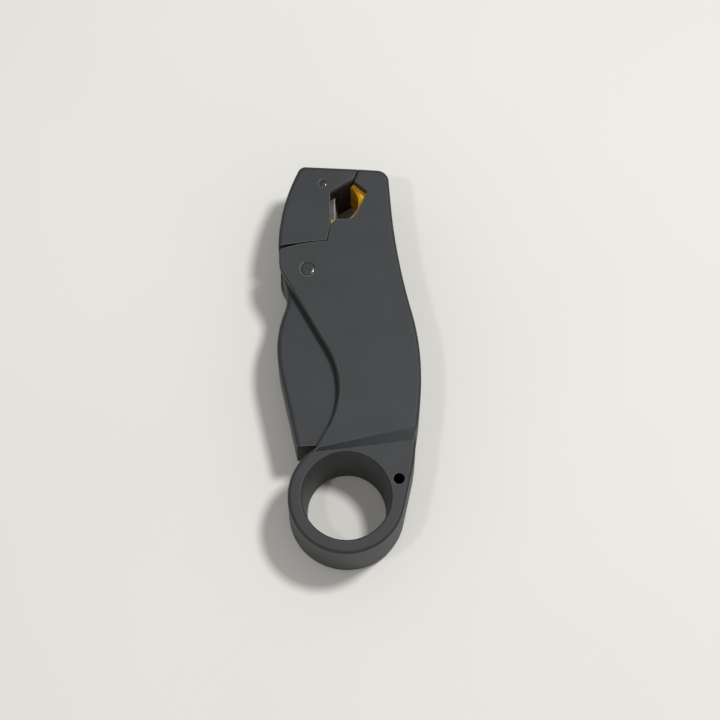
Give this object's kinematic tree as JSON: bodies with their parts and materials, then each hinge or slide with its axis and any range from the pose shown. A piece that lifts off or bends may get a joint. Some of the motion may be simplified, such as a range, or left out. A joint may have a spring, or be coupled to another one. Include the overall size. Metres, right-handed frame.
{
  "type": "rotary cable stripper",
  "caption": "Pistol-slim rotary stripper for coaxial cable: a finger ring at one end, a sprung thumb lever along the side and hinged jaws with pinned blades at the other.",
  "frame": {"origin": "middle of the tool's outline, on the back face that it lies on", "axes": "+X to the closed side of the housing, away from the lever; +Y from the finger ring to the jaws; +Z out of the front face"},
  "size_m": [0.0372, 0.104, 0.023],
  "materials": {
    "dark_plastic": "satin, dark grey",
    "yellow_plastic": "satin, orange yellow",
    "black_plastic": "satin, black",
    "pin_steel": "darkened steel",
    "blade_steel": "ground steel",
    "screw_steel": "blackened steel",
    "spring_steel": "bright spring wire",
    "insert_brass": "turned brass"
  },
  "bodies": {
    "housing": {"housing": "dark_plastic", "pivot_pin": "pin_steel", "cable_block": "yellow_plastic"},
    "lever": {"lever": "dark_plastic", "blade_pin": "pin_steel", "front_blade_spacer": "black_plastic", "middle_blade_spacer": "black_plastic", "rear_blade_spacer": "black_plastic", "front_threaded_insert": "insert_brass", "rear_threaded_insert": "insert_brass", "return_spring": "spring_steel"},
    "front_blade": {"front_blade": "blade_steel"},
    "rear_blade": {"rear_blade": "blade_steel"},
    "front_adjusting_screw": {"front_adjusting_screw": "screw_steel"},
    "rear_adjusting_screw": {"rear_adjusting_screw": "screw_steel"}
  },
  "joints": [
    {"name": "lever_pivot", "type": "hinge", "parent": "housing", "child": "lever", "pos_m": [-0.01013, 0.02392, 0.0115], "axis": [0, 0, 1], "range_deg": [0, 7.5], "stiffness_Nm_per_rad": 0.25, "springref_deg": -20.05},
    {"name": "front_blade_turn", "type": "hinge", "parent": "lever", "child": "front_blade", "pos_m": [-0.00558, 0.04713, 0.0115], "axis": [0, 0, 1], "range_deg": [-4.4, 12]},
    {"name": "rear_blade_turn", "type": "hinge", "parent": "lever", "child": "rear_blade", "pos_m": [-0.00558, 0.04713, 0.0115], "axis": [0, 0, 1], "range_deg": [-10.8, 2.8]},
    {"name": "front_screw_travel", "type": "slide", "parent": "lever", "child": "front_adjusting_screw", "axis": [1, 0, 0], "range_m": [-0.0005, 0.0014]},
    {"name": "rear_screw_travel", "type": "slide", "parent": "lever", "child": "rear_adjusting_screw", "axis": [1, 0, 0], "range_m": [-0.0012, 0.0003]}
  ],
  "couplings": [
    {"joint": "front_blade_turn", "follows": "front_screw_travel", "rad_per_m": 149},
    {"joint": "rear_blade_turn", "follows": "rear_screw_travel", "rad_per_m": 155}
  ]
}
